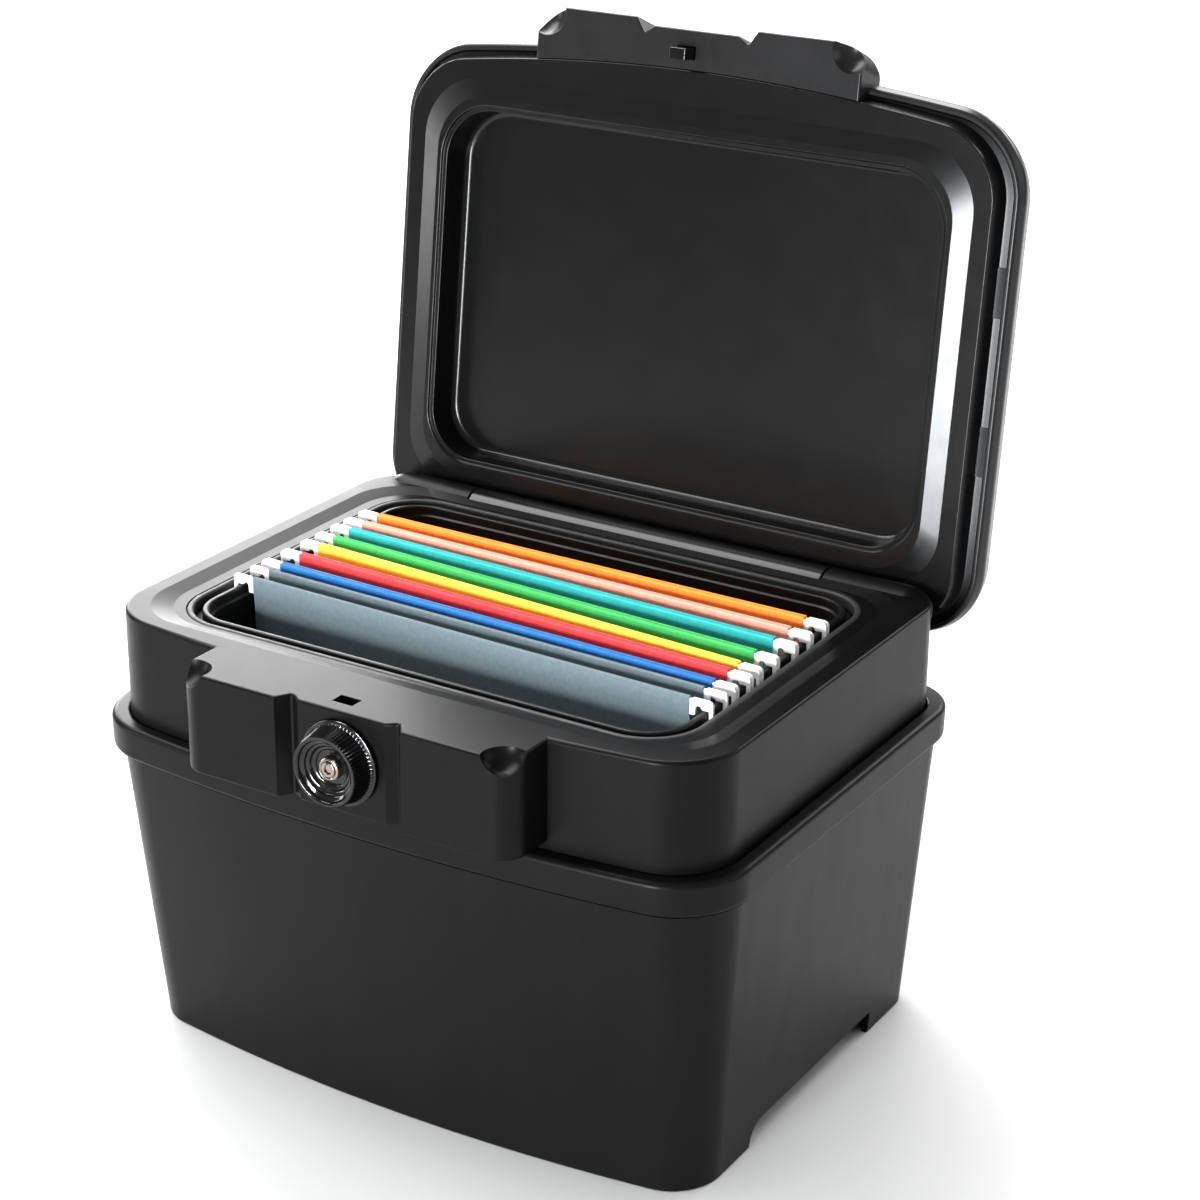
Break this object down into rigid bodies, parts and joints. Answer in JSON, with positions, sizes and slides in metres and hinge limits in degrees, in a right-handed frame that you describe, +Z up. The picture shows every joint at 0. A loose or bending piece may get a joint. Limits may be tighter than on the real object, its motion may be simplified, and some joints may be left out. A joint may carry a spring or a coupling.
{
  "type": "fire-resistant document chest",
  "caption": "Moulded fire-resistant chest for hanging files: tapered tub, collar with a turn-knob latch, insulated hinged lid and removable hanging folders.",
  "frame": {"origin": "centre of the bounding box at rest (lid open) on the ground plane", "axes": "+X to the right seen from the front, -Y to the front (the knob's side), +Z up"},
  "size_m": [0.422, 0.4238, 0.5697],
  "materials": {
    "tub_plastic": "satin black moulded plastic, fine grain",
    "collar_plastic": "satin black moulded plastic, smooth",
    "lid_plastic": "satin black moulded plastic, smooth",
    "liner_plastic": "black moulded plastic",
    "black_gloss": "glossy black plastic",
    "gasket_rubber": "soft black seal",
    "insulation": "cast fire-resistant fill, rough",
    "steel": "plain steel",
    "nickel": "nickel plated",
    "washer_plastic": "natural nylon",
    "bar_white": "white coated",
    "paper_grey": "matt card",
    "paper_blue": "matt card",
    "paper_red": "matt card",
    "paper_yellow": "matt card",
    "paper_green": "matt card",
    "paper_teal": "matt card",
    "paper_salmon": "matt card",
    "paper_orange": "matt card"
  },
  "bodies": {
    "base": {"outer_tub": "tub_plastic", "upper_collar": "collar_plastic", "inner_liner": "liner_plastic", "base_insulation": "insulation", "base_gasket": "gasket_rubber", "hinge_pins": "steel", "hinge_washers": "washer_plastic", "lock_bush": "black_gloss", "bush_nut": "steel", "latch_plate": "steel", "plate_screws": "steel", "bolt_keeper": "steel"},
    "knob": {"knob": "black_gloss", "lock_cylinder": "nickel", "drive_cam": "steel", "cam_screw": "steel"},
    "key_plug": {"lock_plug": "nickel"},
    "bolt": {"latch_bolt": "steel"},
    "lid": {"lid_shell": "lid_plastic", "lid_pan": "lid_plastic", "lid_insulation": "insulation", "lid_hook": "black_gloss", "hook_screws": "steel"},
    "folder_1": {"folder_1_paper": "paper_grey", "folder_1_bars": "bar_white"},
    "folder_2": {"folder_2_paper": "paper_blue", "folder_2_bars": "bar_white"},
    "folder_3": {"folder_3_paper": "paper_red", "folder_3_bars": "bar_white"},
    "folder_4": {"folder_4_paper": "paper_yellow", "folder_4_bars": "bar_white"},
    "folder_5": {"folder_5_paper": "paper_green", "folder_5_bars": "bar_white"},
    "folder_6": {"folder_6_paper": "paper_teal", "folder_6_bars": "bar_white"},
    "folder_7": {"folder_7_paper": "paper_salmon", "folder_7_bars": "bar_white"},
    "folder_8": {"folder_8_paper": "paper_orange", "folder_8_bars": "bar_white"}
  },
  "joints": [
    {"name": "lid_hinge", "type": "hinge", "parent": "base", "child": "lid", "pos_m": [0, 0.11762, 0.256], "axis": [-1, 0, 0], "range_deg": [-96.9, 0]},
    {"name": "knob_turn", "type": "hinge", "parent": "base", "child": "knob", "pos_m": [0, -0.20138, 0.238], "axis": [0, 1, 0], "range_deg": [0, 90]},
    {"name": "key_turn", "type": "hinge", "parent": "knob", "child": "key_plug", "pos_m": [0, -0.20138, 0.238], "axis": [0, 1, 0], "range_deg": [0, 90]},
    {"name": "bolt_slide", "type": "slide", "parent": "base", "child": "bolt", "axis": [1, 0, 0], "range_m": [0, 0.0099]},
    {"name": "folder_1_lift", "type": "slide", "parent": "base", "child": "folder_1", "axis": [0, 0, 1], "range_m": [0, 0.28]},
    {"name": "folder_2_lift", "type": "slide", "parent": "base", "child": "folder_2", "axis": [0, 0, 1], "range_m": [0, 0.28]},
    {"name": "folder_3_lift", "type": "slide", "parent": "base", "child": "folder_3", "axis": [0, 0, 1], "range_m": [0, 0.28]},
    {"name": "folder_4_lift", "type": "slide", "parent": "base", "child": "folder_4", "axis": [0, 0, 1], "range_m": [0, 0.28]},
    {"name": "folder_5_lift", "type": "slide", "parent": "base", "child": "folder_5", "axis": [0, 0, 1], "range_m": [0, 0.28]},
    {"name": "folder_6_lift", "type": "slide", "parent": "base", "child": "folder_6", "axis": [0, 0, 1], "range_m": [0, 0.28]},
    {"name": "folder_7_lift", "type": "slide", "parent": "base", "child": "folder_7", "axis": [0, 0, 1], "range_m": [0, 0.28]},
    {"name": "folder_8_lift", "type": "slide", "parent": "base", "child": "folder_8", "axis": [0, 0, 1], "range_m": [0, 0.28]}
  ],
  "couplings": [
    {"joint": "bolt_slide", "follows": "knob_turn", "m_per_rad": 0.0063}
  ]
}
